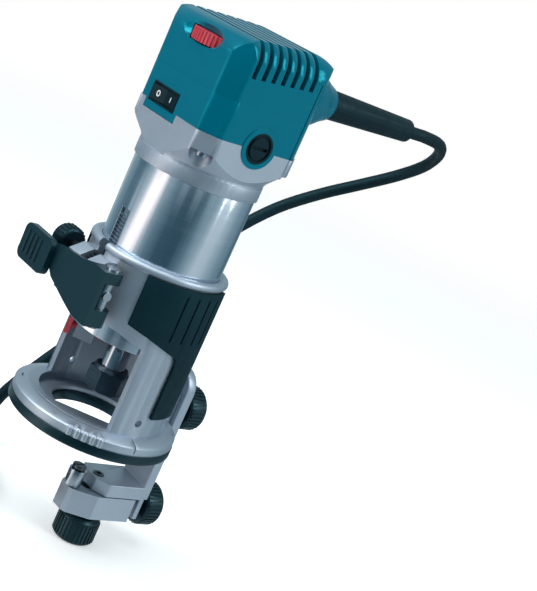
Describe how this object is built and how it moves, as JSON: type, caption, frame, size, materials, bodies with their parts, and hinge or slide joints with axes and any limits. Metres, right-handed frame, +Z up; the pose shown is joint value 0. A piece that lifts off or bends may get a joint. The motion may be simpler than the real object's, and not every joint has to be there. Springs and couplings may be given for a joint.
{
  "type": "trim router",
  "caption": "Fixed-base trim router: a motor unit with a square head slides in a round split base closed by a cam lever, with a roller trimmer guide at the rear.",
  "frame": {"origin": "on the spindle axis at the underside of the sole plate, the centre of the sole opening", "axes": "+Z up along the spindle, -Y towards the window, lever and switch at the front, +Y towards the cord and guide, +X to the right"},
  "size_m": [0.2398, 0.297, 0.2912],
  "materials": {
    "cast_aluminium": "satin casting",
    "turned_aluminium": "turned and polished",
    "sole_plastic": "smooth matte",
    "grip_rubber": "matte moulded rubber",
    "lever_plastic": "satin moulded",
    "knob_plastic": "knurled satin",
    "black_plastic": "satin",
    "lock_grey": "satin grey",
    "teal_plastic": "fine satin gloss",
    "red_plastic": "satin",
    "screw_steel": "zinc plated",
    "dark_steel": "blackened",
    "bearing_steel": "ground and polished",
    "spindle_steel": "turned",
    "nut_steel": "black oxide",
    "core_steel": "laminated",
    "spring_steel": "drawn wire",
    "copper_wire": "enamelled copper",
    "brass_parts": "stamped",
    "carbon": "carbon block",
    "circuit_board": "board with potted parts",
    "cord_rubber": "smooth flexible rubber",
    "chrome_pins": "nickel plated"
  },
  "bodies": {
    "base": {"base_casting": "cast_aluminium", "sole_plate": "sole_plastic", "sole_screws": "screw_steel", "grip_right": "grip_rubber", "grip_left": "grip_rubber", "clamp_bolt": "screw_steel", "lever_pin": "screw_steel"},
    "lever": {"clamp_lever": "lever_plastic"},
    "height_wheel": {"pinion_shaft": "dark_steel", "height_knob": "knob_plastic"},
    "motor": {"motor_tube": "turned_aluminium", "motor_rack": "spindle_steel", "head_casting": "cast_aluminium", "lower_cover": "teal_plastic", "top_cover": "teal_plastic", "cover_screws": "screw_steel", "bearing_carrier": "black_plastic", "upper_bearing": "bearing_steel", "lower_bearing": "bearing_steel", "fan_baffle": "black_plastic", "field_core": "core_steel", "field_coils": "copper_wire", "brush_holders": "brass_parts", "carbon_brushes": "carbon", "brush_springs": "spring_steel", "brush_cap_right": "black_plastic", "brush_cap_left": "black_plastic", "switch_body": "black_plastic", "speed_controller": "circuit_board", "shaft_lock_block": "lock_grey", "cord_guard": "cord_rubber", "cord_clamp": "black_plastic", "cord_lead": "cord_rubber", "cord_tube": "cord_rubber", "cord_coil": "cord_rubber", "cord_tail": "cord_rubber", "plug_body": "cord_rubber", "plug_pins": "chrome_pins"},
    "rocker": {"switch_rocker": "black_plastic"},
    "dial": {"speed_dial": "red_plastic"},
    "lock_button": {"shaft_lock_button": "red_plastic", "shaft_lock_spring": "spring_steel"},
    "rotor": {"spindle": "spindle_steel", "rotor_races": "bearing_steel", "fan": "black_plastic", "armature_core": "core_steel", "armature_windings": "copper_wire", "commutator": "copper_wire"},
    "collet": {"collet_cone": "spindle_steel"},
    "nut": {"collet_nut": "nut_steel"},
    "clamp_screw_a": {"guide_clamp_screw_a": "knob_plastic"},
    "holder": {"guide_holder": "cast_aluminium"},
    "adjusting_screw": {"guide_adjusting_screw": "knob_plastic"},
    "clamp_screw_b": {"guide_clamp_screw_b": "knob_plastic"},
    "arm": {"guide_arm": "cast_aluminium", "roller_screw": "dark_steel"},
    "roller": {"guide_roller": "bearing_steel"}
  },
  "joints": [
    {"name": "lever_pivot", "type": "hinge", "parent": "base", "child": "lever", "pos_m": [0.02, -0.0405, 0.0765], "axis": [0, 0, 1], "range_deg": [0, 100]},
    {"name": "motor_slide", "type": "slide", "parent": "base", "child": "motor", "axis": [0, 0, 1], "range_m": [-0.019, 0.015]},
    {"name": "height_pinion", "type": "hinge", "parent": "base", "child": "height_wheel", "pos_m": [0, -0.0365, 0.086], "axis": [1, 0, 0], "range_deg": [-227, 179.1]},
    {"name": "switch_pivot", "type": "hinge", "parent": "motor", "child": "rocker", "pos_m": [-0.0079, -0.0265, 0.1745], "axis": [0, 0, 1], "range_deg": [-12, 0]},
    {"name": "dial_turn", "type": "hinge", "parent": "motor", "child": "dial", "pos_m": [0.001, -0.0156, 0.2095], "axis": [0, 0, 1], "range_deg": [0, 280]},
    {"name": "lock_press", "type": "slide", "parent": "motor", "child": "lock_button", "axis": [0.6428, 0.766, 0], "range_m": [0, 0.0025], "stiffness_N_per_m": 800, "springref_m": -0.001},
    {"name": "spindle_turn", "type": "hinge", "parent": "motor", "child": "rotor", "pos_m": [0, 0, 0.04], "axis": [0, 0, 1], "continuous": true},
    {"name": "nut_turn", "type": "hinge", "parent": "collet", "child": "nut", "pos_m": [0, 0, 0.026], "axis": [0, 0, 1], "range_deg": [0, 360]},
    {"name": "collet_release", "type": "slide", "parent": "rotor", "child": "collet", "axis": [0, 0, -1], "range_m": [0, 0.0015]},
    {"name": "clamp_a_turn", "type": "hinge", "parent": "base", "child": "clamp_screw_a", "pos_m": [0, 0.054, 0.016], "axis": [0, 1, 0], "range_deg": [0, 720]},
    {"name": "holder_slide", "type": "slide", "parent": "base", "child": "holder", "axis": [0, 0, 1], "range_m": [-0.009, 0.009]},
    {"name": "adjust_turn", "type": "hinge", "parent": "holder", "child": "adjusting_screw", "pos_m": [0, 0.054, -0.0447], "axis": [0, 1, 0], "range_deg": [-1620.1, 2160.1]},
    {"name": "arm_slide", "type": "slide", "parent": "holder", "child": "arm", "axis": [0, -1, 0], "range_m": [-0.0045, 0.006]},
    {"name": "clamp_b_turn", "type": "hinge", "parent": "holder", "child": "clamp_screw_b", "pos_m": [0, 0.021, -0.06], "axis": [0, 0, -1], "range_deg": [0, 720]},
    {"name": "roller_turn", "type": "hinge", "parent": "arm", "child": "roller", "pos_m": [0, 0.0065, -0.033], "axis": [0, 0, 1], "continuous": true}
  ],
  "couplings": [
    {"joint": "height_pinion", "follows": "motor_slide", "rad_per_m": 208.33},
    {"joint": "nut_turn", "follows": "collet_release", "rad_per_m": 4188.8},
    {"joint": "adjust_turn", "follows": "arm_slide", "rad_per_m": 6283.2}
  ]
}
